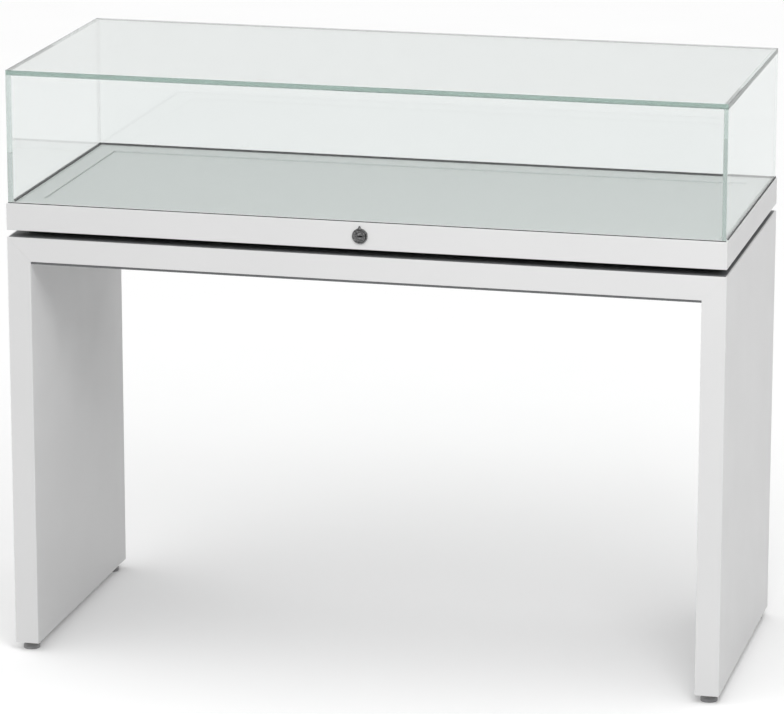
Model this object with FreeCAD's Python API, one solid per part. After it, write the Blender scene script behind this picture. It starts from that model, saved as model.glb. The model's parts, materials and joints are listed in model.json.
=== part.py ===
import FreeCAD, Part
import math
import os

# Glass display showcase: a mitred white table, a shallow case on a shadow gap, a bonded glass
# hood, and a lockable display tray that pulls out to the front under the fixed hood.
# Millimetres. The origin is on the floor under the middle of the table, +Z is up,
# X is the width and the front faces -Y.

# Overall
WIDTH = 1200.0
DEPTH = 500.0
FOOT_HEIGHT = 15.0  # floor to the underside of the legs
TABLE_HEIGHT = 701.0  # underside of the legs to the top of the slab
SHADOW_GAP = 12.0  # dark gap between the slab and the case
HOOD_HEIGHT = 222.0  # rim of the case to the top of the glass

# Boards
SLAB = 40.0  # thickness of the legs and the top slab
RAIL = 15.0  # thickness of the case rails
PANEL = 6.0  # bottom panel of the case
LINER = 4.0  # dark panel under the slab
DECK = 10.0  # tray board
EDGE_ROUND = 0.8
REBATE = 8.0  # ledge under the rails that takes the bottom panel
GROOVE_WIDTH = 0.5  # fine line along each mitre
GROOVE_DEPTH = 0.4
LINER_INSET = 2.0
LINER_GAP = 0.5

# Spacer between the slab and the case
SPACER_SIDE = 22.0  # its ends, in from the case
SPACER_FRONT = 50.0  # its front and rear, in from the case
SPACER_BAR = 30.0

# Glass
GLASS = 8.0
GLASS_INSET = 2.5
ARRIS = 0.5
BOND = 0.2
GASKET = 1.5

# Tray
TRAY_SIDE_GAP = 1.0
TRAY_REAR_GAP = 2.5
TRAY_JOINT = 0.4  # clearance across the mitre between the front rail and the side rails
SEAL_GAP = 0.3
PANEL_GAP = 1.0  # front rail to the bottom panel
BORDER_SIDE = 48.0  # outer face to the recess in the tray board
BORDER_END = 54.0
RECESS = 5.0
INLAY = 2.5
INLAY_GAP = 0.5
BAR = 15.0
BAR_LIFT = 5.0
BAR_SHORT = 15.0
ANGLE = 20.0
ANGLE_SKIN = 2.0
ANGLE_END_GAP = 2.5
BUFFER_RADIUS = 4.0
BUFFER = 2.0

# Telescopic slides, as a stack across the slide from the rail inwards
SLIDE_LENGTH = 400.0
SLIDE_FRONT_GAP = 10.0
SLIDE_SKIN = 1.2
SLIDE_DEPTH = 12.7
SLIDE_HALF = 13.5  # half the height of the outer member
SLIDE_GAP = 1.0  # above and below the outer member
BALL_RADIUS = 1.45
BALL_FIT = 0.05
CAGE_LENGTH = 180.0
CAGE_SKIN = 0.4
CAGE_GAP = 0.3
BALLS = 5
TRACK = 11.0  # how far the flanges reach from the rail
LIP = 1.4

# Lock
LOCK_RADIUS = 8.0
LOCK_FLANGE = 10.0
LOCK_FACE = 1.0
PLUG_RADIUS = 6.5
PLUG_PROUD = 0.3
PLUG_FIT = 0.05
ROSETTE_RADIUS = 13.5
ROSETTE = 2.5
NIB = 3.5
LOCK_BEHIND = 12.5  # how far the housing stands behind the front rail
NUT_FLATS = 22.0
NUT = 3.5
CAM = 2.0
CAM_GAP = 1.0  # the open cam's tip to the bottom panel
CAM_HALF = 6.0
CAM_HUB = 7.0
TAIL_RADIUS = 4.0
KEYWAY = (8.0, 1.4, 8.0)  # width, height, depth
STRIKE_SKIN = 2.0
STRIKE_WIDTH = 14.5
STRIKE_GAP = 1.5  # sideways from the housing
STRIKE_BITE = 2.0  # cam to strike, along the travel
STRIKE_EDGE = 0.5  # its foot to the bottom panel's front edge
STRIKE_TOP = 5.5  # above the lock's centre line
LOCK_CLEAR = 30.0

# Levelling feet
FOOT_INSET = 25.0
PAD_RADIUS = 14.0
PAD = 9.0
PAD_NECK = 10.0
STUD_RADIUS = 5.0
STUD_REACH = 38.0
STUD_SEAT = 4.0
HEX_FLATS = 17.0
FOOT_GAP = 0.3
FOOT_INSERT = 25.0
FOOT_INSERT_RADIUS = 7.0
FOOT_FLANGE = (11.0, 1.5)  # radius, thickness
THREAD_FIT = 0.05

# Fasteners
DOWEL_RADIUS = 4.0
DOWEL_LENGTH = 36.0
DOWELS = 5
BOLT_RADIUS = 4.0
BOLT_HEAD = 8.0
MITRE_BOLT = 80.0
MITRE_BOLT_INSET = 30.0
MITRE_BOLTS = 4
INSERT_RADIUS = 6.0
INSERT = 18.0
INSERT_BELOW = 2.0  # how far an insert sits below the face that it enters
CASE_BOLT = 38.0
CASE_BOLTS = 4
SCREW_RADIUS = 1.5
SCREW_HEAD = 2.8
HOLE_FIT = 0.05

CASE_HEIGHT = PANEL + 2 * (SLIDE_HALF + SLIDE_GAP) + DECK
HALF_W = WIDTH / 2
HALF_D = DEPTH / 2
Z_TABLE = FOOT_HEIGHT + TABLE_HEIGHT
Z_BEAM = Z_TABLE - SLAB
Z_CASE = Z_TABLE + SHADOW_GAP
Z_FLOOR = Z_CASE + PANEL
Z_RIM = Z_CASE + CASE_HEIGHT
Z_DECK = Z_RIM - DECK
Z_GLASS = Z_RIM + GASKET
Z_TOP = Z_RIM + HOOD_HEIGHT
RAIL_X = -(HALF_W - RAIL)  # inner face of the left rail
RAIL_FRONT = -(HALF_D - RAIL)  # back face of the front rail
RAIL_REAR = HALF_D - RAIL
GLASS_X = HALF_W - GLASS_INSET
GLASS_Y = HALF_D - GLASS_INSET
DECK_REAR = RAIL_REAR - TRAY_REAR_GAP
LOCK_Z = Z_CASE + CASE_HEIGHT / 2
SLIDE_Z = (Z_FLOOR + Z_DECK) / 2
SLIDE_FRONT = RAIL_FRONT + SLIDE_FRONT_GAP
BAR_X = (RAIL_X + SLIDE_DEPTH, RAIL_X + SLIDE_DEPTH + BAR)
BAR_Z = (Z_FLOOR + BAR_LIFT, Z_DECK)

UP = (0, 0, 1)
DOWN = (0, 0, -1)
LEFT = (-1, 0, 0)
RIGHT = (1, 0, 0)
FRONT = (0, -1, 0)
BACK = (0, 1, 0)
V = FreeCAD.Vector


def block(x, y, z):
    """A box between pairs of limits."""
    return Part.makeBox(x[1] - x[0], y[1] - y[0], z[1] - z[0], V(x[0], y[0], z[0]))


def rod(start, direction, radius, length):
    return Part.makeCylinder(radius, length, V(*start), V(*direction))


def prism(points, travel):
    """A polygon pushed along a vector."""
    corners = [V(*p) for p in points]
    return Part.Face(Part.makePolygon(corners + corners[:1])).extrude(V(*travel))


def hexagon(start, direction, flats, length):
    """A hexagonal bar with two of its flats level."""
    radius = flats / math.sqrt(3)
    axis = V(*direction)
    side = V(1, 0, 0) if abs(axis.x) < 0.5 else V(0, 1, 0)
    other = axis.cross(side)
    turns = [math.radians(60 * i) for i in range(6)]
    ring = [side * (radius * math.cos(t)) + other * (radius * math.sin(t)) for t in turns]
    return prism([tuple(V(*start) + p) for p in ring], tuple(axis * length))


def rounded(shape, axis, radius):
    """Rounds the edges that run along one axis."""
    line = V(*axis)
    edges = []
    for edge in shape.Edges:
        run = edge.Vertexes[1].Point.sub(edge.Vertexes[0].Point)
        if run.cross(line).Length < 1e-6:
            edges.append(edge)
    return shape.makeFillet(radius, edges)


def pane(x, y, z):
    """A sheet of glass with ground arrises."""
    sheet = block(x, y, z)
    return sheet.makeChamfer(ARRIS, sheet.Edges)


def mirrored(shape):
    """The same piece on the other side of the middle."""
    return shape.mirror(V(0, 0, 0), V(1, 0, 0))


def mirrored_back(shape):
    return shape.mirror(V(0, 0, 0), V(0, 1, 0))


def spread(count, span):
    """Evenly spaced places about the middle, with the outer two a span apart."""
    return [span * (i / (count - 1) - 0.5) for i in range(count)]


def both(shapes):
    return shapes + [mirrored(s) for s in shapes]


def cut_all(shape, cutters):
    return shape.cut(cutters) if cutters else shape


def save(name, shape):
    """Writes one node; a list is a group of separate solids."""
    whole = Part.makeCompound(shape) if isinstance(shape, list) else shape
    whole.exportStep("parts/" + name + ".step")


def screw(head, direction, length, radius=SCREW_RADIUS, head_radius=SCREW_HEAD):
    """A countersunk screw with a hexagon socket, its head's face at the given point."""
    cone = Part.makeCone(head_radius, radius, head_radius - radius, V(*head), V(*direction))
    body = cone.fuse(rod(head, direction, radius, length)).removeSplitter()
    return body.cut(hexagon(head, direction, radius * 1.1, (head_radius - radius) * 0.8))


def screw_hole(head, direction, length, radius=SCREW_RADIUS, head_radius=SCREW_HEAD):
    """The countersunk hole that a screw fills, with the fit around it."""
    wide, slim = head_radius + HOLE_FIT, radius + HOLE_FIT
    start, axis = V(*head), V(*direction)
    mouth = Part.makeCylinder(wide, 1.0, start - axis, axis)
    cone = Part.makeCone(wide, slim, head_radius - radius, start, axis)
    shank = Part.makeCylinder(slim, length + HOLE_FIT, start, axis)
    return mouth.fuse([cone, shank])


class Fixing:
    """A row of like screws: their solids and the holes that they need."""

    def __init__(self, heads, direction, length, radius=SCREW_RADIUS, head_radius=SCREW_HEAD):
        size = (direction, length, radius, head_radius)
        self.screws = [screw(h, *size) for h in heads]
        self.holes = [screw_hole(h, *size) for h in heads]


# ---- Fixings that several pieces share

bolt_y = spread(MITRE_BOLTS, DEPTH * 0.6)
mitre_bolt_x = -(HALF_W - MITRE_BOLT_INSET)
mitre_bolts = Fixing(
    [(mitre_bolt_x, y, Z_TABLE) for y in bolt_y], DOWN, MITRE_BOLT, BOLT_RADIUS, BOLT_HEAD
)
case_bolt_y = HALF_D - SPACER_FRONT - SPACER_BAR / 2
case_bolt_spots = [
    (x, y) for x in spread(CASE_BOLTS, WIDTH - 120.0) for y in (-case_bolt_y, case_bolt_y)
]
case_bolts = Fixing(
    [(x, y, Z_FLOOR) for x, y in case_bolt_spots], DOWN, CASE_BOLT, BOLT_RADIUS, BOLT_HEAD
)
liner_screws = Fixing(
    [(x, y, Z_BEAM - LINER) for x in spread(5, WIDTH - 160.0) for y in spread(2, DEPTH - 50.0)],
    UP, LINER + 12.0,
)
rebate_x = RAIL_X - REBATE / 2
rebate_y = RAIL_REAR + REBATE / 2
side_rail_screws = Fixing([(rebate_x, y, Z_CASE) for y in spread(4, DEPTH - 120.0)], UP, 22.0)
rear_rail_screws = Fixing([(x, rebate_y, Z_CASE) for x in spread(5, WIDTH - 160.0)], UP, 22.0)
slide_mid = SLIDE_FRONT + SLIDE_LENGTH / 2
slide_spots = [slide_mid + y for y in spread(3, SLIDE_LENGTH - 60.0)]
rail_slide_screws = Fixing([(RAIL_X + SLIDE_SKIN, y, SLIDE_Z) for y in slide_spots], LEFT, 12.0)
inner_face = RAIL_X + SLIDE_DEPTH - SLIDE_SKIN
bar_slide_screws = Fixing([(inner_face, y, SLIDE_Z) for y in slide_spots], RIGHT, 11.0)
bar_mid_x = sum(BAR_X) / 2
bar_spots = [y + 30.0 for y in slide_spots]
bar_screws = Fixing([(bar_mid_x, y, BAR_Z[0]) for y in bar_spots], UP, BAR_Z[1] - BAR_Z[0] + 5.0)
angle_x = (BAR_X[1] + ANGLE_END_GAP, -LOCK_CLEAR)
angle_mid = sum(angle_x) / 2
angle_spots = [angle_mid + x for x in spread(4, angle_x[1] - angle_x[0] - 40.0)]
angle_back = RAIL_FRONT + ANGLE_SKIN
angle_rail_screws = Fixing(
    [(x, angle_back, Z_DECK - ANGLE * 0.6) for x in angle_spots], FRONT, RAIL - 1.0
)
angle_deck_screws = Fixing(
    [(x, angle_back + ANGLE * 0.55, Z_DECK - ANGLE_SKIN) for x in angle_spots],
    UP, ANGLE_SKIN + DECK * 0.6,
)


# ---- Table: two legs and a top slab, mitred at the corners

def mitre_groove():
    """The fine line along the left mitre, on the front face and on the back face."""
    shift = GROOVE_WIDTH / 2 / math.sqrt(2)
    top, low = (-HALF_W - 1, Z_TABLE + 1), (-HALF_W + SLAB + 0.5, Z_BEAM - 0.5)
    ring = [
        (top[0] - shift, -HALF_D, top[1] - shift),
        (top[0] + shift, -HALF_D, top[1] + shift),
        (low[0] + shift, -HALF_D, low[1] + shift),
        (low[0] - shift, -HALF_D, low[1] - shift),
    ]
    front = prism(ring, (0, GROOVE_DEPTH, 0))
    return [front, mirrored_back(front)]


def mitre_dowels(extra):
    """Dowels across the left mitre, or their holes when extra is the fit."""
    lean = math.sqrt(0.5)
    half = DOWEL_LENGTH / 2 + extra
    mid_x, mid_z = -HALF_W + SLAB / 2, Z_TABLE - SLAB / 2
    return [
        rod((mid_x - half * lean, y, mid_z - half * lean), (1, 0, 1), DOWEL_RADIUS + extra, 2 * half)
        for y in spread(DOWELS, DEPTH * 0.8)
    ]


def foot_spot(front):
    return (-HALF_W + SLAB / 2, -(HALF_D - FOOT_INSET) if front else HALF_D - FOOT_INSET)


def make_insert(x, y, top, radius, length, bore):
    """A threaded insert, from its upper face down."""
    body = rod((x, y, top - length), UP, radius, length)
    return body.cut(rod((x, y, top - length), UP, bore, length))


def leg_insert_top():
    """The mitre face's height at the bolts, less the depth that the insert sits below it."""
    return Z_BEAM + SLAB - MITRE_BOLT_INSET - INSERT_RADIUS - INSERT_BELOW


def left_leg():
    x = (-HALF_W, -HALF_W + SLAB)
    leg = rounded(block(x, (-HALF_D, HALF_D), (FOOT_HEIGHT, Z_TABLE)), UP, EDGE_ROUND)
    above = [(x[0], -HALF_D, Z_TABLE), (x[1], -HALF_D, Z_TABLE), (x[1], -HALF_D, Z_BEAM)]
    cutters = [prism(above, (0, DEPTH, 0))] + mitre_groove() + mitre_dowels(HOLE_FIT)
    cutters += mitre_bolts.holes
    low = leg_insert_top() - INSERT
    for y in bolt_y:
        cutters.append(rod((mitre_bolt_x, y, low), UP, INSERT_RADIUS + HOLE_FIT, Z_TABLE - low))
    for front in (True, False):
        x0, y0 = foot_spot(front)
        wide, thick = FOOT_FLANGE
        cutters.append(rod((x0, y0, FOOT_HEIGHT), UP, wide + HOLE_FIT, thick))
        cutters.append(rod((x0, y0, FOOT_HEIGHT), UP, FOOT_INSERT_RADIUS + HOLE_FIT, FOOT_INSERT))
        cutters.append(rod((x0, y0, FOOT_HEIGHT), UP, STUD_RADIUS + 0.5, STUD_REACH + 2.0))
    return cut_all(leg, cutters)


def top_slab():
    slab = block((-HALF_W, HALF_W), (-HALF_D, HALF_D), (Z_BEAM, Z_TABLE))
    slab = rounded(slab, RIGHT, EDGE_ROUND)
    below = [
        (-HALF_W, -HALF_D, Z_TABLE), (-HALF_W, -HALF_D, Z_BEAM), (-HALF_W + SLAB, -HALF_D, Z_BEAM)
    ]
    left = [prism(below, (0, DEPTH, 0))] + mitre_groove() + mitre_dowels(HOLE_FIT)
    left += mitre_bolts.holes
    cutters = both(left) + liner_screws.holes + case_bolts.holes
    for x, y in case_bolt_spots:
        low = Z_TABLE - INSERT_BELOW - INSERT
        cutters.append(rod((x, y, low), UP, INSERT_RADIUS + HOLE_FIT, INSERT + INSERT_BELOW))
    return cut_all(slab, cutters)


def thread_inserts():
    bore = BOLT_RADIUS + THREAD_FIT
    in_leg = [
        make_insert(mitre_bolt_x, y, leg_insert_top(), INSERT_RADIUS, INSERT, bore) for y in bolt_y
    ]
    in_slab = [
        make_insert(x, y, Z_TABLE - INSERT_BELOW, INSERT_RADIUS, INSERT, bore)
        for x, y in case_bolt_spots
    ]
    return both(in_leg) + in_slab


def foot_inserts():
    wide, thick = FOOT_FLANGE
    made = []
    for front in (True, False):
        x, y = foot_spot(front)
        sleeve = rod((x, y, FOOT_HEIGHT), UP, FOOT_INSERT_RADIUS, FOOT_INSERT)
        sleeve = sleeve.fuse(rod((x, y, FOOT_HEIGHT), UP, wide, thick)).removeSplitter()
        made.append(sleeve.cut(rod((x, y, 0), UP, STUD_RADIUS + THREAD_FIT, FOOT_HEIGHT + 60.0)))
    return both(made)


def foot_stud(x, y):
    """Threaded stud with the hexagon that turns it."""
    top = FOOT_HEIGHT - FOOT_GAP
    stud = hexagon((x, y, PAD), UP, HEX_FLATS, top - PAD)
    stud = stud.fuse(rod((x, y, PAD), UP, STUD_RADIUS, FOOT_HEIGHT + STUD_REACH - PAD))
    return stud.fuse(rod((x, y, PAD * 0.4), UP, STUD_SEAT, PAD * 0.6)).removeSplitter()


def foot_pad(x, y):
    """Round glide with a sloping shoulder and a blind seat for the stud."""
    edge = PAD * 0.55
    pad = rod((x, y, 0), UP, PAD_RADIUS, edge)
    pad = pad.fuse(Part.makeCone(PAD_RADIUS, PAD_NECK, PAD - edge, V(x, y, edge), V(*UP)))
    return pad.cut(rod((x, y, PAD * 0.4), UP, STUD_SEAT + HOLE_FIT, PAD)).removeSplitter()


def under_slab_panel():
    x, y = HALF_W - SLAB - LINER_GAP, HALF_D - LINER_INSET
    panel = block((-x, x), (-y, y), (Z_BEAM - LINER, Z_BEAM))
    return cut_all(panel, liner_screws.holes)


# ---- Spacer in the shadow gap

def spacer_long_bar():
    """Front bar of the spacer."""
    x, y = HALF_W - SPACER_SIDE, HALF_D - SPACER_FRONT
    bar = block((-x, x), (-y, -y + SPACER_BAR), (Z_TABLE, Z_CASE))
    return cut_all(bar, case_bolts.holes)


def spacer_end_bar():
    x, y = HALF_W - SPACER_SIDE, HALF_D - SPACER_FRONT - SPACER_BAR
    return block((-x, -x + SPACER_BAR), (-y, y), (Z_TABLE, Z_CASE))


# ---- Case: three fixed rails round a bottom panel; the fourth rail is the tray's front

def bottom_panel():
    x, rear = HALF_W - RAIL + REBATE - HOLE_FIT, RAIL_REAR + REBATE - HOLE_FIT
    panel = block((-x, x), (RAIL_FRONT + PANEL_GAP, rear), (Z_CASE, Z_FLOOR))
    holes = case_bolts.holes + both(side_rail_screws.holes) + rear_rail_screws.holes
    return cut_all(panel, holes + strike_screws.holes)


def side_rail():
    """Left rail: square mitre at the rear, a mitre with clearance at the moving front rail."""
    x = (-HALF_W, RAIL_X)
    rail = rounded(block(x, (-HALF_D, HALF_D), (Z_CASE, Z_RIM)), BACK, EDGE_ROUND)
    step = TRAY_JOINT * math.sqrt(2)
    out = 5.0
    front = [
        (x[0] - out, -HALF_D - out + step, Z_CASE),
        (x[1] + out, RAIL_FRONT + out + step, Z_CASE),
        (x[1] + out, -HALF_D - out, Z_CASE),
    ]
    rear = [(x[0], HALF_D, Z_CASE), (x[1], HALF_D, Z_CASE), (x[1], RAIL_REAR, Z_CASE)]
    ledge = block((x[1] - REBATE, x[1]), (-HALF_D, HALF_D), (Z_CASE, Z_FLOOR))
    cutters = [prism(front, (0, 0, CASE_HEIGHT)), prism(rear, (0, 0, CASE_HEIGHT)), ledge]
    return cut_all(rail, cutters + side_rail_screws.holes + rail_slide_screws.holes)


def rear_rail():
    y = (RAIL_REAR, HALF_D)
    rail = rounded(block((-HALF_W, HALF_W), y, (Z_CASE, Z_RIM)), RIGHT, EDGE_ROUND)
    corner = [(-HALF_W, y[1], Z_CASE), (-HALF_W, y[0], Z_CASE), (RAIL_X, y[0], Z_CASE)]
    x = -RAIL_X + REBATE
    ledge = block((-x, x), (y[0], y[0] + REBATE), (Z_CASE, Z_FLOOR))
    cutters = both([prism(corner, (0, 0, CASE_HEIGHT))]) + [ledge] + rear_rail_screws.holes
    return cut_all(rail, cutters)


def side_gasket():
    return block((-GLASS_X, RAIL_X), (RAIL_FRONT + PANEL_GAP, GLASS_Y), (Z_RIM, Z_GLASS))


def rear_gasket():
    return block((RAIL_X, -RAIL_X), (RAIL_REAR, GLASS_Y), (Z_RIM, Z_GLASS))


def tray_buffers():
    z = (Z_DECK + Z_RIM) / 2
    return [rod((x, RAIL_REAR, z), FRONT, BUFFER_RADIUS, BUFFER) for x in spread(3, WIDTH - 400.0)]


# ---- Glass hood: four upright panes, mitred at the corners, under a top pane

def upright_pane(corners):
    """A pane of the hood's walls, standing on its seam. Its ends are mitred against its neighbours."""
    points = [(x, y, Z_GLASS) for x, y in corners]
    return prism(points, (0, 0, Z_TOP - GLASS - BOND - Z_GLASS))


def glass_side():
    inner_x, inner_y = GLASS_X - GLASS, GLASS_Y - GLASS
    return upright_pane([
        (-GLASS_X, -GLASS_Y + BOND / 2), (-GLASS_X, GLASS_Y - BOND / 2),
        (-inner_x, inner_y - BOND / 2), (-inner_x, -inner_y + BOND / 2),
    ])


def glass_front():
    inner_x, inner_y = GLASS_X - GLASS, GLASS_Y - GLASS
    return upright_pane([
        (-GLASS_X + BOND / 2, -GLASS_Y), (GLASS_X - BOND / 2, -GLASS_Y),
        (inner_x - BOND / 2, -inner_y), (-inner_x + BOND / 2, -inner_y),
    ])


def glass_top():
    return pane((-GLASS_X, GLASS_X), (-GLASS_Y, GLASS_Y), (Z_TOP - GLASS, Z_TOP))


# ---- Telescopic slides, drawn for the left side

def channel(near, far, half, lip):
    """A C section along the slide: web at near, flanges towards far, with lips if asked."""
    skin = SLIDE_SKIN if far > near else -SLIDE_SKIN
    y = (SLIDE_FRONT, SLIDE_FRONT + SLIDE_LENGTH)

    def bar(u0, u1, w0, w1):
        x = sorted((RAIL_X + u0, RAIL_X + u1))
        return block(x, y, (SLIDE_Z + w0, SLIDE_Z + w1))

    bars = [bar(near, far, half - SLIDE_SKIN, half), bar(near, far, -half, SLIDE_SKIN - half)]
    if lip:
        low = half - SLIDE_SKIN - lip
        bars += [bar(far - skin, far, low, half), bar(far - skin, far, -half, -low)]
    return bar(near, near + skin, -half, half).fuse(bars).removeSplitter()


ball_pitch = 2 * (BALL_RADIUS + BALL_FIT)  # radial space that one row of balls fills
mid_half = SLIDE_HALF - SLIDE_SKIN - ball_pitch
inner_half = mid_half - SLIDE_SKIN - ball_pitch
ball_line = TRACK * 0.6
mid_web = SLIDE_SKIN + 2 * CAGE_GAP + CAGE_SKIN


def cage(web, half):
    """A ball retainer: a thin C strip with a row of balls above and one below."""
    start = slide_mid - CAGE_LENGTH / 2 - CAGE_LENGTH / 9
    y = (start, start + CAGE_LENGTH)
    row = half + ball_pitch / 2
    thin = CAGE_SKIN / 2
    x = (RAIL_X + web, RAIL_X + ball_line + ball_pitch * 0.8)
    strip = block((x[0], x[0] + CAGE_SKIN), y, (SLIDE_Z - row - thin, SLIDE_Z + row + thin))
    pieces = []
    for w in (-row, row):
        pieces.append(block(x, y, (SLIDE_Z + w - thin, SLIDE_Z + w + thin)))
        for step in spread(BALLS, CAGE_LENGTH - 20.0):
            centre = V(RAIL_X + ball_line, sum(y) / 2 + step, SLIDE_Z + w)
            pieces.append(Part.makeSphere(BALL_RADIUS, centre))
    return strip.fuse(pieces).removeSplitter()


def slide_outer():
    return cut_all(channel(0, TRACK, SLIDE_HALF, LIP), rail_slide_screws.holes)


def slide_middle():
    return channel(mid_web, TRACK, mid_half, LIP)


def slide_inner():
    reach = mid_web + SLIDE_SKIN + 2 * CAGE_GAP + CAGE_SKIN + 0.8
    return cut_all(channel(SLIDE_DEPTH, reach, inner_half, 0), bar_slide_screws.holes)


def outer_cage():
    return cage(SLIDE_SKIN + CAGE_GAP, mid_half)


def inner_cage():
    return cage(mid_web + SLIDE_SKIN + CAGE_GAP, inner_half)


# ---- Tray

def front_rail():
    rail = block((-HALF_W, HALF_W), (-HALF_D, RAIL_FRONT), (Z_CASE, Z_RIM))
    rail = rounded(rail, RIGHT, EDGE_ROUND)
    corner = [(-HALF_W, -HALF_D, Z_CASE), (-HALF_W, RAIL_FRONT, Z_CASE), (RAIL_X, RAIL_FRONT, Z_CASE)]
    cutters = both([prism(corner, (0, 0, CASE_HEIGHT))] + angle_rail_screws.holes)
    cutters.append(rod((0, -HALF_D, LOCK_Z), BACK, LOCK_RADIUS + HOLE_FIT, RAIL))
    return cut_all(rail, cutters)


def front_seal():
    """Dust seal on the front rail, its ends cut along the rail's mitres."""
    y = (-GLASS_Y, -GLASS_Y + GLASS + PANEL_GAP)
    x = [HALF_W - (place + HALF_D) for place in y]
    ring = [(-x[0], y[0], Z_RIM), (x[0], y[0], Z_RIM), (x[1], y[1], Z_RIM), (-x[1], y[1], Z_RIM)]
    return prism(ring, (0, 0, GASKET - SEAL_GAP))


def tray_deck():
    x = -RAIL_X - TRAY_SIDE_GAP
    deck = block((-x, x), (RAIL_FRONT, DECK_REAR), (Z_DECK, Z_RIM))
    inner_x, inner_y = HALF_W - BORDER_SIDE, HALF_D - BORDER_END
    pocket = block((-inner_x, inner_x), (-inner_y, inner_y), (Z_RIM - RECESS, Z_RIM))
    return cut_all(deck, [pocket] + both(bar_screws.holes + angle_deck_screws.holes))


def display_inlay():
    x, y = HALF_W - BORDER_SIDE - INLAY_GAP, HALF_D - BORDER_END - INLAY_GAP
    floor = Z_RIM - RECESS
    return block((-x, x), (-y, y), (floor, floor + INLAY))


def tray_side_bar():
    bar = block(BAR_X, (RAIL_FRONT, DECK_REAR - BAR_SHORT), BAR_Z)
    return cut_all(bar, bar_screws.holes + bar_slide_screws.holes)


def front_angle():
    """Aluminium angle that ties the tray board to the front rail."""
    upright = block(angle_x, (RAIL_FRONT, angle_back), (Z_DECK - ANGLE, Z_DECK))
    level = block(angle_x, (RAIL_FRONT, RAIL_FRONT + ANGLE), (Z_DECK - ANGLE_SKIN, Z_DECK))
    angle = upright.fuse(level).removeSplitter()
    return cut_all(angle, angle_rail_screws.holes + angle_deck_screws.holes)


# ---- Lock in the front rail, and its strike on the bottom panel

lock_front = -HALF_D - ROSETTE - LOCK_FACE
lock_end = RAIL_FRONT + LOCK_BEHIND
cam_front = lock_end + 0.5
cam_back = cam_front + CAM
strike_back = cam_front - STRIKE_BITE
strike_x = (-LOCK_RADIUS - STRIKE_GAP - STRIKE_WIDTH, -LOCK_RADIUS - STRIKE_GAP)
strike_wall = (strike_back - STRIKE_SKIN, strike_back)
strike_front = RAIL_FRONT + PANEL_GAP + STRIKE_EDGE
strike_screw_y = (strike_front + strike_wall[0]) / 2
strike_screws = Fixing(
    [(sum(strike_x) / 2 + x, strike_screw_y, Z_FLOOR + STRIKE_SKIN) for x in spread(2, 7.5)],
    DOWN, STRIKE_SKIN + PANEL - 1.0,
)


def lock_rosette():
    ring = rod((0, -HALF_D, LOCK_Z), FRONT, ROSETTE_RADIUS, ROSETTE)
    wide = ROSETTE_RADIUS * 0.2
    root = LOCK_Z + ROSETTE_RADIUS - 1.0
    nib = [
        (-wide, -HALF_D, root), (wide, -HALF_D, root), (0, -HALF_D, LOCK_Z + ROSETTE_RADIUS + NIB)
    ]
    ring = ring.fuse(prism(nib, (0, -ROSETTE, 0))).removeSplitter()
    return ring.cut(rod((0, -HALF_D, LOCK_Z), FRONT, LOCK_RADIUS + HOLE_FIT, ROSETTE))


def lock_housing():
    barrel = rod((0, lock_front, LOCK_Z), BACK, LOCK_RADIUS, lock_end - lock_front)
    flange = rod((0, lock_front, LOCK_Z), BACK, LOCK_FLANGE, LOCK_FACE)
    flange = flange.makeChamfer(0.4, [e for e in flange.Edges if e.BoundBox.YMax < lock_front + 0.1])
    barrel = barrel.fuse(flange).removeSplitter()
    bore = rod((0, lock_front, LOCK_Z), BACK, PLUG_RADIUS + PLUG_FIT, lock_end - lock_front)
    return barrel.cut(bore)


def lock_nut():
    nut = hexagon((0, RAIL_FRONT, LOCK_Z), BACK, NUT_FLATS, NUT)
    return nut.cut(rod((0, RAIL_FRONT, LOCK_Z), BACK, LOCK_RADIUS + THREAD_FIT, NUT))


def lock_plug():
    start = lock_front - PLUG_PROUD
    plug = rod((0, start, LOCK_Z), BACK, PLUG_RADIUS, cam_front - start)
    plug = plug.fuse(rod((0, cam_front, LOCK_Z), BACK, TAIL_RADIUS, CAM)).removeSplitter()
    width, height, depth = KEYWAY
    half, tall = width / 2, height / 2
    slot = block((-half, half), (start, start + depth), (LOCK_Z - tall, LOCK_Z + tall))
    thread = rod((0, cam_back, LOCK_Z), FRONT, SCREW_RADIUS + HOLE_FIT, 10.0)
    return cut_all(plug, [slot, thread])


def lock_cam():
    """Short cam that points down when the lock is open."""
    tip = (0, cam_front, Z_FLOOR + CAM_GAP + CAM_HALF)
    hub = rod((0, cam_front, LOCK_Z), BACK, CAM_HUB, CAM)
    arm = block((-CAM_HALF, CAM_HALF), (cam_front, cam_back), (tip[2], LOCK_Z))
    cam = hub.fuse([arm, rod(tip, BACK, CAM_HALF, CAM)]).removeSplitter()
    return cam.cut(rod((0, cam_front, LOCK_Z), BACK, TAIL_RADIUS + HOLE_FIT, CAM))


def lock_cam_screw():
    head = rod((0, cam_back, LOCK_Z), BACK, TAIL_RADIUS + 1.0, 2.0)
    body = head.fuse(rod((0, cam_back, LOCK_Z), FRONT, SCREW_RADIUS, 9.0)).removeSplitter()
    return body.cut(hexagon((0, cam_back + 2.0, LOCK_Z), FRONT, 2.5, 1.4))


def lock_strike():
    foot = block(strike_x, (strike_front, strike_back), (Z_FLOOR, Z_FLOOR + STRIKE_SKIN))
    wall = block(strike_x, strike_wall, (Z_FLOOR, LOCK_Z + STRIKE_TOP))
    return cut_all(foot.fuse(wall).removeSplitter(), strike_screws.holes)


# ---- Nodes

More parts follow.
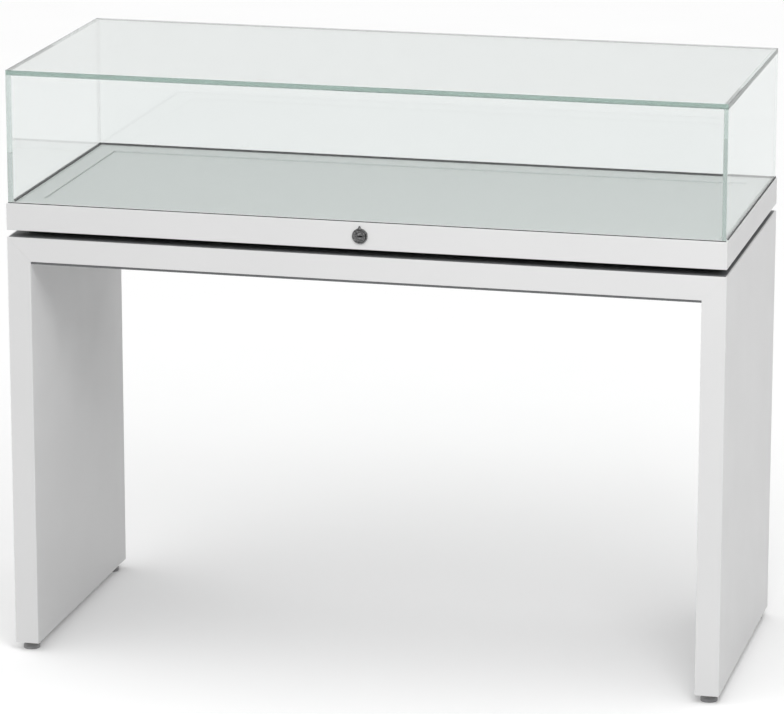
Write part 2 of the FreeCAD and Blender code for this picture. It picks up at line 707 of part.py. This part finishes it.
leg = left_leg()
save("left_leg", leg)
save("right_leg", mirrored(leg))
save("top_slab", top_slab())
save("mitre_dowels", both(mitre_dowels(0.0)))
save("mitre_bolts", both(mitre_bolts.screws))
save("thread_inserts", thread_inserts())
save("under_slab_panel", under_slab_panel())
save("under_slab_screws", liner_screws.screws)
save("foot_inserts", foot_inserts())
for place, is_front in (("front", True), ("rear", False)):
    spot = foot_spot(is_front)
    for piece, shape in (("stud", foot_stud(*spot)), ("pad", foot_pad(*spot))):
        save(place + "_left_foot_" + piece, shape)
        save(place + "_right_foot_" + piece, mirrored(shape))

front_bar = spacer_long_bar()
save("spacer_front_bar", front_bar)
save("spacer_rear_bar", mirrored_back(front_bar))
save("spacer_end_bars", both([spacer_end_bar()]))
save("case_bolts", case_bolts.screws)

save("case_bottom_panel", bottom_panel())
left_rail = side_rail()
save("left_case_rail", left_rail)
save("right_case_rail", mirrored(left_rail))
save("rear_case_rail", rear_rail())
fixed_screws = both(side_rail_screws.screws + rail_slide_screws.screws)
save("case_screws", fixed_screws + rear_rail_screws.screws + strike_screws.screws)
save("left_glass_gasket", side_gasket())
save("right_glass_gasket", mirrored(side_gasket()))
save("rear_glass_gasket", rear_gasket())
save("tray_buffers", tray_buffers())
save("lock_strike", lock_strike())

save("glass_top", glass_top())
save("glass_front", glass_front())
save("glass_rear", mirrored_back(glass_front()))
save("glass_left", glass_side())
save("glass_right", mirrored(glass_side()))

slide_parts = {
    "slide_outer": slide_outer(),
    "slide_outer_cage": outer_cage(),
    "slide_middle": slide_middle(),
    "slide_inner_cage": inner_cage(),
    "slide_inner": slide_inner(),
}
for name, shape in slide_parts.items():
    save("left_" + name, shape)
    save("right_" + name, mirrored(shape))

save("front_rail", front_rail())
save("front_seal", front_seal())
save("tray_deck", tray_deck())
save("display_inlay", display_inlay())
save("tray_side_bars", both([tray_side_bar()]))
save("front_angles", both([front_angle()]))
moving_screws = bar_screws.screws + bar_slide_screws.screws
moving_screws += angle_rail_screws.screws + angle_deck_screws.screws
save("tray_screws", both(moving_screws))

save("lock_rosette", lock_rosette())
save("lock_housing", lock_housing())
save("lock_nut", lock_nut())
save("lock_plug", lock_plug())
save("lock_cam", lock_cam())
save("lock_cam_screw", lock_cam_screw())
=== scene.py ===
import json
import math

import bmesh
import bpy
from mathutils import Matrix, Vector


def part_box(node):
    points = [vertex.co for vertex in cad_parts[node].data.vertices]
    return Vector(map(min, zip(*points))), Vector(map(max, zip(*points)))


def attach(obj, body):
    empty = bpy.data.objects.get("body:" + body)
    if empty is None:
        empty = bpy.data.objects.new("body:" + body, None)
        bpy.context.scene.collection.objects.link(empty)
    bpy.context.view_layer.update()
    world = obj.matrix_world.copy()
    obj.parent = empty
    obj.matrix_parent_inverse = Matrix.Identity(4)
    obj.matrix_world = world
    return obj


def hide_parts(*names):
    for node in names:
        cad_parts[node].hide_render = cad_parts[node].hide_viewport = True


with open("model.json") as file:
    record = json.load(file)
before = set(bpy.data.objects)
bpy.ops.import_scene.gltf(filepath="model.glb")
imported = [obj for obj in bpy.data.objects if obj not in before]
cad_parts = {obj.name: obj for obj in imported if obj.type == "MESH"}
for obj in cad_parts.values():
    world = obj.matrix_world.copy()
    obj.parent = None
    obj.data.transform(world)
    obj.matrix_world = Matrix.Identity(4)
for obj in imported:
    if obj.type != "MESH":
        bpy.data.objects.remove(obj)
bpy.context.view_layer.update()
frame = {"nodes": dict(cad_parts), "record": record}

scene = bpy.context.scene
nodes = frame["nodes"]
MM = 0.001


def corners(node):
    """A node's lowest and highest corners at rest, in mm."""
    return [[round(value / MM, 3) for value in corner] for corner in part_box(node)]


# ---- Materials

def new_material(name):
    """A material with one Principled shader: (material, node tree, shader, object coordinates)."""
    made = bpy.data.materials.new(name)
    made.use_nodes = True
    tree = made.node_tree
    tree.nodes.clear()
    out = tree.nodes.new("ShaderNodeOutputMaterial")
    shader = tree.nodes.new("ShaderNodeBsdfPrincipled")
    tree.links.new(shader.outputs[0], out.inputs["Surface"])
    place = tree.nodes.new("ShaderNodeTexCoord").outputs["Object"]
    return made, tree, shader, place


def noise(tree, place, scale, detail=2.0, stretch=(1, 1, 1), rough=0.5):
    """Noise of scale lumps per metre, drawn out along an axis by a small stretch."""
    if stretch != (1, 1, 1):
        mapping = tree.nodes.new("ShaderNodeMapping")
        mapping.inputs["Scale"].default_value = stretch
        tree.links.new(place, mapping.inputs["Vector"])
        place = mapping.outputs[0]
    made = tree.nodes.new("ShaderNodeTexNoise")
    made.inputs["Scale"].default_value = scale
    made.inputs["Detail"].default_value = detail
    made.inputs["Roughness"].default_value = rough
    tree.links.new(place, made.inputs["Vector"])
    return made.outputs[0]


def spread_to(tree, value, low, high, start=0.3, end=0.7):
    """value from start to end, mapped to low to high."""
    made = tree.nodes.new("ShaderNodeMapRange")
    made.inputs["From Min"].default_value = start
    made.inputs["From Max"].default_value = end
    made.inputs["To Min"].default_value = low
    made.inputs["To Max"].default_value = high
    tree.links.new(value, made.inputs["Value"])
    return made.outputs[0]


def tones(tree, value, *stops):
    """Colours along value: each stop is (place, (r, g, b))."""
    ramp = tree.nodes.new("ShaderNodeValToRGB")
    while len(ramp.color_ramp.elements) < len(stops):
        ramp.color_ramp.elements.new(0.5)
    for element, (at, colour) in zip(ramp.color_ramp.elements, stops):
        element.position = at
        element.color = (*colour, 1)
    tree.links.new(value, ramp.inputs[0])
    return ramp.outputs[0]


def bump(tree, shader, *layers):
    """Bump from (value, strength, height in metres) layers, the coarsest first."""
    normal = None
    for value, strength, height in layers:
        made = tree.nodes.new("ShaderNodeBump")
        made.inputs["Strength"].default_value = strength
        made.inputs["Distance"].default_value = height
        tree.links.new(value, made.inputs["Height"])
        if normal:
            tree.links.new(normal, made.inputs["Normal"])
        normal = made.outputs[0]
    tree.links.new(normal, shader.inputs["Normal"])


def put(tree, value, socket):
    """Feed value into a shader's socket."""
    tree.links.new(value, socket)


def lacquer(name, colour, rough, shade=0.012, coat=0.0):
    """Sprayed lacquer on fibreboard: faint clouds in the colour and a fine orange peel."""
    made, tree, shader, place = new_material(name)
    cloud = noise(tree, place, scale=5, detail=3)
    low = tuple(c - shade for c in colour)
    put(tree, tones(tree, cloud, (0.35, low), (0.65, colour)), shader.inputs["Base Color"])
    gloss = noise(tree, place, scale=14, detail=4)
    put(tree, spread_to(tree, gloss, rough - 0.04, rough + 0.05), shader.inputs["Roughness"])
    peel = noise(tree, place, scale=420, detail=1)
    bump(tree, shader, (peel, 0.12, 0.00012))
    shader.inputs["Coat Weight"].default_value = coat
    shader.inputs["Coat Roughness"].default_value = 0.2
    return made


def laminate(name, colour, rough):
    """Fine-grained laminate: small soft specks and a shallow grain."""
    made, tree, shader, place = new_material(name)
    speck = noise(tree, place, scale=1500, detail=2)
    low = tuple(c * 0.94 for c in colour)
    put(tree, tones(tree, speck, (0.4, low), (0.6, colour)), shader.inputs["Base Color"])
    gloss = noise(tree, place, scale=60, detail=3)
    put(tree, spread_to(tree, gloss, rough - 0.05, rough + 0.06), shader.inputs["Roughness"])
    bump(tree, shader, (speck, 0.25, 0.0001))
    return made


def timber(name, light, dark, stretch, scale=30):
    """Wood with its grain drawn out along one axis."""
    made, tree, shader, place = new_material(name)
    grain = noise(tree, place, scale, detail=6, stretch=stretch, rough=0.65)
    pores = noise(tree, place, scale * 14, detail=2, stretch=stretch)
    put(tree, tones(tree, grain, (0.3, dark), (0.5, light), (0.72, dark)), shader.inputs["Base Color"])
    put(tree, spread_to(tree, pores, 0.5, 0.7), shader.inputs["Roughness"])
    bump(tree, shader, (grain, 0.2, 0.0004), (pores, 0.3, 0.0001))
    return made


def ply(name, light, dark, thick=0.0014):
    """Plywood bar: dark and light plies, each so thick, up its height, and grain along it."""
    made, tree, shader, place = new_material(name)
    split = tree.nodes.new("ShaderNodeSeparateXYZ")
    tree.links.new(place, split.inputs[0])
    plies = tree.nodes.new("ShaderNodeMath")
    plies.operation = "PINGPONG"
    plies.inputs[1].default_value = thick
    tree.links.new(split.outputs["Z"], plies.inputs[0])
    layer = spread_to(tree, plies.outputs[0], 0, 1, 0.0004, 0.001)
    grain = noise(tree, place, scale=60, detail=5, stretch=(1, 0.04, 1), rough=0.6)
    mix = tree.nodes.new("ShaderNodeMix")
    mix.data_type = "RGBA"
    tree.links.new(layer, mix.inputs["Factor"])
    tree.links.new(tones(tree, grain, (0.3, dark), (0.6, light)), mix.inputs["A"])
    darkest = tuple(c * 0.62 for c in dark)
    tree.links.new(tones(tree, grain, (0.3, darkest), (0.6, dark)), mix.inputs["B"])
    put(tree, mix.outputs["Result"], shader.inputs["Base Color"])
    put(tree, spread_to(tree, grain, 0.5, 0.68), shader.inputs["Roughness"])
    bump(tree, shader, (grain, 0.25, 0.0002))
    return made


def metal(name, colour, rough, stretch=(1, 1, 1), scale=260, mottle=0.12, dent=0.12, relief=0.0):
    """Plated or brushed metal: mottled tone and roughness, and fine marks. relief raises the mottling."""
    made, tree, shader, place = new_material(name)
    shader.inputs["Metallic"].default_value = 1.0
    cloud = noise(tree, place, scale, detail=3, stretch=stretch)
    low = tuple(c * (1 - mottle) for c in colour)
    put(tree, tones(tree, cloud, (0.3, low), (0.7, colour)), shader.inputs["Base Color"])
    gloss = noise(tree, place, scale * 3, detail=2, stretch=stretch)
    put(tree, spread_to(tree, gloss, rough * 0.75, rough * 1.3), shader.inputs["Roughness"])
    marks = (noise(tree, place, scale * 5, detail=2, stretch=stretch), dent, 0.00005)
    bump(tree, shader, *([(cloud, 1.0, relief), marks] if relief else [marks]))
    return made


def rubber(name, colour, rough=0.7):
    """Soft moulded rubber or nylon: dull, with a fine pebbled skin."""
    made, tree, shader, place = new_material(name)
    dust = noise(tree, place, scale=90, detail=4)
    high = tuple(c * 1.35 + 0.004 for c in colour)
    put(tree, tones(tree, dust, (0.4, colour), (0.75, high)), shader.inputs["Base Color"])
    put(tree, spread_to(tree, dust, rough - 0.08, rough + 0.08), shader.inputs["Roughness"])
    pebbles = noise(tree, place, scale=2600, detail=2)
    bump(tree, shader, (pebbles, 0.35, 0.00008))
    return made


def float_glass(name, tint, ior=1.5, density=2.0):
    """Clear glass, green through its depth, that lets lamp light through to what is in the case."""
    lamp_tint, depth_tint = (0.91, 0.93, 0.92), (0.03, 0.29, 0.20)
    made, tree, shader, place = new_material(name)
    out = next(n for n in tree.nodes if n.type == "OUTPUT_MATERIAL")
    shader.inputs["Transmission Weight"].default_value = 1.0
    shader.inputs["Base Color"].default_value = (*tint, 1)
    shader.inputs["IOR"].default_value = ior
    smear = noise(tree, place, scale=6, detail=5, stretch=(1, 0.7, 1), rough=0.6)
    put(tree, spread_to(tree, smear, 0.0, 0.012, 0.45, 0.8), shader.inputs["Roughness"])
    clear = tree.nodes.new("ShaderNodeBsdfTransparent")
    clear.inputs[0].default_value = (*lamp_tint, 1)
    path = tree.nodes.new("ShaderNodeLightPath")
    either = tree.nodes.new("ShaderNodeMath")
    either.operation = "MAXIMUM"
    tree.links.new(path.outputs["Is Shadow Ray"], either.inputs[0])
    tree.links.new(path.outputs["Is Diffuse Ray"], either.inputs[1])
    mix = tree.nodes.new("ShaderNodeMixShader")
    tree.links.new(either.outputs[0], mix.inputs["Fac"])
    tree.links.new(shader.outputs[0], mix.inputs[1])
    tree.links.new(clear.outputs[0], mix.inputs[2])
    tree.links.new(mix.outputs[0], out.inputs["Surface"])
    depth = tree.nodes.new("ShaderNodeVolumeAbsorption")
    depth.inputs["Color"].default_value = (*depth_tint, 1)
    depth.inputs["Density"].default_value = density
    tree.links.new(depth.outputs[0], out.inputs["Volume"])
    return made


made_for = {
    "white_lacquer": lacquer("white_lacquer", (0.83, 0.83, 0.83), 0.38, coat=0.15),
    "black_lacquer": lacquer("black_lacquer", (0.02, 0.02, 0.022), 0.55, 0.004),
    "grey_laminate": laminate("grey_laminate", (0.16, 0.165, 0.17), 0.5),
    # display_laminate is set darker than white_lacquer: painted shade for the deck and rail lippings under
    # the glass hood
    "display_laminate": laminate("display_laminate", (0.66, 0.67, 0.67), 0.45),
    "hardwood": timber("hardwood", (0.62, 0.42, 0.24), (0.42, 0.26, 0.13), (0.08, 1, 1), 120),
    "plywood": ply("plywood", (0.66, 0.50, 0.33), (0.50, 0.35, 0.20)),
    "zinc_steel": metal("zinc_steel", (0.66, 0.67, 0.69), 0.3),
    "slide_steel": metal("slide_steel", (0.68, 0.69, 0.71), 0.28, (1, 0.05, 1), 300),
    "aluminium_angle": metal("aluminium_angle", (0.80, 0.80, 0.81), 0.35, (0.05, 1, 1), 300),
    "brass_insert": metal("brass_insert", (0.78, 0.58, 0.26), 0.28),
    "dark_chrome": metal(
        "dark_chrome", (0.27, 0.27, 0.273), 0.22, scale=300, mottle=0.85, dent=0.5, relief=0.0014,
    ),
    "black_rubber": rubber("black_rubber", (0.025, 0.025, 0.026)),
    "grey_rubber": rubber("grey_rubber", (0.25, 0.25, 0.25)),
    "foot_nylon": rubber("foot_nylon", (0.30, 0.30, 0.305), 0.5),
    "clear_glass": float_glass("clear_glass", (0.943, 0.963, 0.956)),
    # Tinted copies of the glass for the upright panes: painted shade on the front, rear and right panes,
    # painted light on the left pane
    "shaded_wall_glass": float_glass("shaded_wall_glass", (0.915, 0.932, 0.928), density=0.4),
    "lit_left_glass": float_glass("lit_left_glass", (0.95, 0.96, 0.957), ior=1.25, density=0.4),
    "shaded_right_glass": float_glass("shaded_right_glass", (0.90, 0.922, 0.916), ior=1.14, density=0.4),
}
for part in frame["record"]["subparts"]:
    held = nodes[part["node"]]
    held.data.materials.clear()
    held.data.materials.append(made_for[part["material_slot"]])

# The upright panes: each has its own tint and reflection. The tints are painted light and shade: the left
# pane's glass is lighter, and the front, rear and right panes' glass darker, than the top pane's. The side
# panes' lower IOR dims their reflections.
for pane, kind in (
    ("glass_front", "shaded_wall_glass"), ("glass_rear", "shaded_wall_glass"),
    ("glass_left", "lit_left_glass"), ("glass_right", "shaded_right_glass"),
):
    nodes[pane].data.materials[0] = made_for[kind]


# ---- The table's boards: copies with their outer edges eased, so that the mitres show as fine lines

EASE = 0.9 * MM
NEAR = 0.1 * MM
leg_low, leg_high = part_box("left_leg")
slab_low, slab_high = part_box("top_slab")
EDGES_X = (-leg_high.x, -leg_low.x)
EDGES_Z = (leg_low.z, slab_low.z, slab_high.z)
for name in ("left_leg", "right_leg", "top_slab"):
    board = bpy.data.objects.new(name + "_board", nodes[name].data.copy())
    scene.collection.objects.link(board)
    board.matrix_world = nodes[name].matrix_world
    edges = board.vertex_groups.new(name="outline")
    edges.add([
        v.index for v in board.data.vertices
        if abs(abs(v.co.y) - slab_high.y) < NEAR
        and min(abs(abs(v.co.x) - x) for x in EDGES_X) < NEAR
        and min(abs(v.co.z - z) for z in EDGES_Z) < NEAR
    ], 1.0, "REPLACE")
    weld = board.modifiers.new("weld", "WELD")
    weld.merge_threshold = NEAR / 10
    flatten = board.modifiers.new("flatten", "DECIMATE")
    flatten.decimate_type = "DISSOLVE"
    flatten.angle_limit = math.radians(0.5)
    ease = board.modifiers.new("eased edges", "BEVEL")
    ease.width = EASE
    ease.segments = 2
    ease.limit_method = "VGROUP"
    ease.vertex_group = "outline"
    ease.harden_normals = True
    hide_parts(name)
    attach(board, "table_and_case")


# ---- Pieces in more detail than the CAD nodes that they stand for

def solid(name, rings, slot, body, *stands_for, hollow=False):
    """A closed mesh through rings, in mm, of as many points each. A hollow one joins last to first."""
    mesh = bmesh.new()
    made = [[mesh.verts.new(Vector(p) * MM) for p in ring] for ring in rings]
    for one, two in zip(made, made[1:] + made[:1] if hollow else made[1:]):
        for k in range(len(one)):
            mesh.faces.new((one[k - 1], one[k], two[k], two[k - 1]))
    if not hollow:
        mesh.faces.new(made[0])
        mesh.faces.new(made[-1])
    bmesh.ops.recalc_face_normals(mesh, faces=mesh.faces)
    data = bpy.data.meshes.new(name)
    mesh.to_mesh(data)
    mesh.free()
    for face in data.polygons:
        face.use_smooth = True
    data.set_sharp_from_angle(angle=math.radians(32))
    piece = bpy.data.objects.new(name, data)
    scene.collection.objects.link(piece)
    data.materials.append(made_for[slot])
    if stands_for:
        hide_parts(*stands_for)
    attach(piece, body)
    return piece


def strip(name, low, high, ease, slot, body, *stands_for):
    """A long strip between two corners, in mm, with its long edges eased by ease."""
    size = [h - l for l, h in zip(low, high)]
    along = size.index(max(size))
    a, b = [k for k in range(3) if k != along]
    outline = []
    for u, v in ((0, 0), (1, 0), (1, 1), (0, 1)):
        turn = 1 if u == v else -1
        for step in (0, 1, 2) if turn == 1 else (2, 1, 0):
            angle = math.radians(45 * step)
            du, dv = ease * (1 - math.cos(angle)), ease * (1 - math.sin(angle))
            p = low[a] + du if u == 0 else high[a] - du
            q = low[b] + dv if v == 0 else high[b] - dv
            outline.append((p, q))
    rings = []
    for at in (low[along], high[along]):
        ring = []
        for p, q in outline:
            point = [0, 0, 0]
            point[along], point[a], point[b] = at, p, q
            ring.append(point)
        rings.append(ring)
    return solid(name, rings, slot, body, *stands_for)


# Seams: each fixed pane stands in a thin black channel, with a lip on either side of the glass
LIP = 1.0
LIP_EASE = 0.4
CLEAR = 0.03
LIPPING, LIPPING_EASE = 0.4, 0.15
end_pane, rear_pane = corners("glass_right"), corners("glass_rear")
end_rail, rear_rail = corners("right_case_rail"), corners("rear_case_rail")
PANE_IN, PANE_OUT = end_pane[0][0], end_pane[1][0]
PANE_REAR, PANE_BACK = rear_pane[0][1], rear_pane[1][1]
RAIL_IN, REAR_RAIL_IN = end_rail[0][0], rear_rail[0][1]
SEAM_FRONT = corners("right_glass_gasket")[0][1]
SEAM_LOW = end_rail[1][2]
SEAM_TOP = end_pane[0][2] - 0.02
LIP_TOP = end_pane[0][2] + 1.2


def channel(outer, inner):
    """A channel's section: (across, up) points round it. outer and inner are the pane's faces."""
    turn = 1 if outer > inner else -1
    out, rim = outer + turn * LIP, inner - turn * LIP
    clear, ease = turn * CLEAR, turn * LIP_EASE
    return [
        (rim, SEAM_LOW), (out, SEAM_LOW), (out, LIP_TOP - LIP_EASE), (out - ease, LIP_TOP),
        (outer + clear, LIP_TOP), (outer + clear, SEAM_TOP), (inner - clear, SEAM_TOP),
        (inner - clear, LIP_TOP), (rim + ease, LIP_TOP), (rim, LIP_TOP - LIP_EASE),
    ]


for side, sign in (("left", -1), ("right", 1)):
    section = channel(sign * PANE_OUT, sign * PANE_IN)
    solid(side + "_pane_channel", [[(x, y, z) for x, z in section] for y in (SEAM_FRONT, PANE_BACK)],
          "black_rubber", "table_and_case", side + "_glass_gasket")
    edges = sorted((sign * RAIL_IN, sign * (PANE_IN - LIP - 0.05)))
    strip(side + "_rail_lipping", (edges[0], SEAM_FRONT, SEAM_LOW),
          (edges[1], PANE_REAR - LIP, SEAM_LOW + LIPPING),
          LIPPING_EASE, "display_laminate", "table_and_case")
section = channel(PANE_BACK, PANE_REAR)
ends = PANE_IN - LIP - 0.1
solid("rear_pane_channel", [[(x, y, z) for y, z in section] for x in (-ends, ends)],
      "black_rubber", "table_and_case", "rear_glass_gasket")
strip("rear_rail_lipping", (-RAIL_IN, REAR_RAIL_IN, SEAM_LOW),
      (RAIL_IN, PANE_REAR - LIP - 0.05, SEAM_LOW + LIPPING),
      LIPPING_EASE, "display_laminate", "table_and_case")

# Dark sheet laid on the slab in the shadow gap, round the spacer: painted shade that darkens the gap
SHADE_SHEET = 0.4
slab, spacer = corners("top_slab"), corners("spacer_rear_bar")
SHADE_SHEET_LOW, SHADE_SHEET_TOP = slab[1][2], slab[1][2] + SHADE_SHEET
SHADE_SHEET_X, SHADE_SHEET_Y = slab[1][0] - 2.5, slab[1][1] - 3.5
BAR_X, BAR_Y = spacer[1][0] + 0.2, spacer[1][1] + 0.2
for name, low, high in (
    ("front", (-SHADE_SHEET_X, -SHADE_SHEET_Y, SHADE_SHEET_LOW), (SHADE_SHEET_X, -BAR_Y, SHADE_SHEET_TOP)),
    ("rear", (-SHADE_SHEET_X, BAR_Y, SHADE_SHEET_LOW), (SHADE_SHEET_X, SHADE_SHEET_Y, SHADE_SHEET_TOP)),
    ("left", (-SHADE_SHEET_X, -BAR_Y, SHADE_SHEET_LOW), (-BAR_X, BAR_Y, SHADE_SHEET_TOP)),
    ("right", (BAR_X, -BAR_Y, SHADE_SHEET_LOW), (SHADE_SHEET_X, BAR_Y, SHADE_SHEET_TOP)),
):
    # each strip is a dark grey sheet, painted shade where the case above shades the slab
    strip(name + "_gap_shade_sheet", low, high, LIPPING_EASE, "grey_laminate", "table_and_case")

# The lock's face. Radii are in mm, and a profile's heights are over the rail's front face.
TURNS = 96
RAIL_FACE = corners("front_rail")[0][1]
lock_low, lock_high = corners("lock_housing")
LOCK_Z = (lock_low[2] + lock_high[2]) / 2


def ring_at(radius, y):
    """A ring round the lock's axis at y. radius is a number, or a function of the angle from 3 o'clock."""
    ring = []
    for k in range(TURNS):
        angle = 2 * math.pi * k / TURNS
        r = radius(angle) if callable(radius) else radius
        ring.append((r * math.cos(angle), y, LOCK_Z + r * math.sin(angle)))
    return ring


def turned(*profile):
    """Rings through a profile's (radius, height) points."""
    return [ring_at(radius, RAIL_FACE - height) for radius, height in profile]


def lobe(angle, at, width, height):
    """A rounded bump of that height on a round outline, width degrees to each side of at."""
    off = abs((math.degrees(angle) - at + 180) % 360 - 180)
    return height * math.cos(math.pi / 2 * off / width) ** 0.7 if off < width else 0.0


def plate(inset):
    """The rosette's outline, drawn in by inset: a pointer at 12 o'clock and a stop lug at 2."""
    def radius(angle):
        flute = 0.12 * math.cos(24 * angle)
        return 12.9 - inset + flute + lobe(angle, 92, 9, 4.0) + lobe(angle, 24, 10, 0.6)
    return radius


solid("lock_rosette_face", turned(
    (8.1, 0), (8.1, 1.9), (10.3, 1.9), (10.7, 2.0), (11.1, 2.35),
    (plate(0.9), 2.45), (plate(0.3), 2.2), (plate(0), 1.6), (plate(0), 0),
), "dark_chrome", "tray", "lock_rosette", hollow=True)
solid("lock_housing_ring", turned(
    (6.55, -27.5), (6.55, 2.9), (6.9, 3.2), (7.6, 3.0), (7.9, 3.0), (8.3, 3.45),
    (9.3, 3.45), (9.8, 3.2), (10.0, 2.7), (10.0, 2.5), (8.0, 2.5), (8.0, -27.5),
), "dark_chrome", "tray", "lock_housing", hollow=True)


def keyway(width, height):
    """A keyhole slot's outline, with a ring's number of points."""
    def radius(angle):
        c, s = abs(math.cos(angle)), abs(math.sin(angle))
        return ((c / (width / 2)) ** 8 + (s / (height / 2)) ** 8) ** (-1 / 8)
    return radius


solid("lock_plug_face", turned(
    (keyway(7.8, 1.3), -4), (keyway(7.8, 1.3), 2.7), (keyway(9.4, 3.1), 3.55),
    (5.3, 3.55), (5.9, 3.8), (6.2, 3.75), (6.45, 3.5), (6.45, -28), (4.0, -28), (4.0, -30),
), "dark_chrome", "lock_cylinder", "lock_plug")


# ---- Floor, light and camera

# The floor bounces less light than it shows to the camera
FLOOR_BOUNCE = 0.5
bpy.ops.mesh.primitive_plane_add(size=120, location=(0, 0, 0))
floor = bpy.context.active_object
floor.name = "studio_floor"
paper, tree, shader, place = new_material("studio_floor")
cloud = noise(tree, place, scale=3, detail=3)
pale, paler = (0.985, 0.985, 0.985), (0.99, 0.99, 0.99)
put(tree, tones(tree, cloud, (0.4, pale), (0.6, paler)), shader.inputs["Base Color"])
shader.inputs["Roughness"].default_value = 0.9
shader.inputs["Specular IOR Level"].default_value = 0.0
dim = tree.nodes.new("ShaderNodeBsdfDiffuse")
dim.inputs["Color"].default_value = (FLOOR_BOUNCE, FLOOR_BOUNCE, FLOOR_BOUNCE, 1)
path = tree.nodes.new("ShaderNodeLightPath")
either = tree.nodes.new("ShaderNodeMixShader")
tree.links.new(path.outputs["Is Diffuse Ray"], either.inputs["Fac"])
tree.links.new(shader.outputs[0], either.inputs[1])
tree.links.new(dim.outputs[0], either.inputs[2])
sink = next(n for n in tree.nodes if n.type == "OUTPUT_MATERIAL")
tree.links.new(either.outputs[0], sink.inputs["Surface"])
floor.data.materials.append(paper)

world = bpy.data.worlds.new("studio")
world.use_nodes = True
sky = world.node_tree
scene.world = world


def calc(operation, *terms):
    """A math node of the sky, from sockets and numbers."""
    made = sky.nodes.new("ShaderNodeMath")
    made.operation = operation
    for socket, term in zip(made.inputs, terms):
        if isinstance(term, (int, float)):
            socket.default_value = term
        else:
            sky.links.new(term, socket)
    return made.outputs[0]


def facing(axis, sign):
    """1 towards that side of the sky, falling to 0 at a quarter turn from it."""
    return calc("DIVIDE", calc("POWER", calc("MAXIMUM", calc("MULTIPLY", axis, sign), 0), 2), around)


def slope(start, end):
    """0 at the height start, 1 at the height end, and on the line through them elsewhere."""
    return calc("DIVIDE", calc("SUBTRACT", height, start), end - start)


split = sky.nodes.new("ShaderNodeSeparateXYZ")
sky.links.new(sky.nodes.new("ShaderNodeTexCoord").outputs["Generated"], split.inputs[0])
east, north, up = split.outputs
around = calc("MAXIMUM", calc("ADD", calc("MULTIPLY", east, east), calc("MULTIPLY", north, north)), 1e-6)
height = calc("MAXIMUM", up, 0)
# Bands of the sky, each full at its own height and fading out at its neighbours'
MIDDLE, MIDDLE_END, HIGH, ZENITH = 0.35, 0.8, 0.65, 0.95
low = calc("MAXIMUM", slope(MIDDLE, 0), 0)
middle = calc("MAXIMUM", calc("MINIMUM", slope(0, MIDDLE), slope(MIDDLE_END, MIDDLE)), 0)
high = calc("MAXIMUM", calc("MINIMUM", slope(MIDDLE, HIGH), slope(ZENITH, HIGH)), 0)
zenith = calc("MINIMUM", calc("MAXIMUM", slope(HIGH, ZENITH), 0), 1)
# Each row is a band, the side that it is brightest on, if it has one, and its strength
SKY = (
    (zenith, None, 1.115),
    (high, facing(north, -1), 1.388),
    (high, facing(east, 1), 1.58),
    (high, facing(east, -1), 1.2),
    (middle, facing(north, -1), 0.916),
    (middle, facing(north, 1), 0.359),
    (middle, facing(east, -1), 0.9),
    (low, facing(east, -1), 0.9),
    (low, facing(north, 1), 1.0),
)
total = None
for band, side, strength in SKY:
    term = calc("MULTIPLY", band, strength)
    if side:
        term = calc("MULTIPLY", term, side)
    total = calc("ADD", total, term) if total else term
# Mirrored and refracted rays see an even sky
EVEN_SKY = 0.82
rays = sky.nodes.new("ShaderNodeLightPath")
through = calc("MAXIMUM", rays.outputs["Is Glossy Ray"], rays.outputs["Is Transmission Ray"])
shaped = calc("MULTIPLY", total, calc("SUBTRACT", 1, through))
total = calc("ADD", shaped, calc("MULTIPLY", through, EVEN_SKY))
sky.nodes["Background"].inputs["Color"].default_value = (1, 1, 1, 1)
sky.links.new(total, sky.nodes["Background"].inputs["Strength"])


def point(name, data, place, direction):
    """An object that holds a lamp or a camera and looks in that direction."""
    made = bpy.data.objects.new(name, data)
    scene.collection.objects.link(made)
    made.location = place
    made.rotation_euler = direction.to_track_quat("-Z", "Y").to_euler()
    return made


soft_box = bpy.data.lights.new("front_soft_box", "AREA")
soft_box.energy = 19.6
soft_box.shape = "RECTANGLE"
soft_box.size = soft_box.size_y = 1.0
lamp_place, lamp_aim = Vector((1.0, -1.9, 2.4)), Vector((0.3, 0, 0.6))
point("front_soft_box", soft_box, lamp_place, lamp_aim - lamp_place)

lens = bpy.data.cameras.new("camera")
lens.lens = 203.44
lens.sensor_width = 36
camera_place, camera_view = (1.7124, -7.0097, 2.3607), Vector((-0.2306866, 0.93996672, -0.2514881))
scene.camera = point("camera", lens, camera_place, camera_view)

scene.view_settings.view_transform = "Standard"
scene.cycles.max_bounces = 48
scene.cycles.transmission_bounces = 32
scene.cycles.glossy_bounces = 40
scene.cycles.transparent_max_bounces = 32
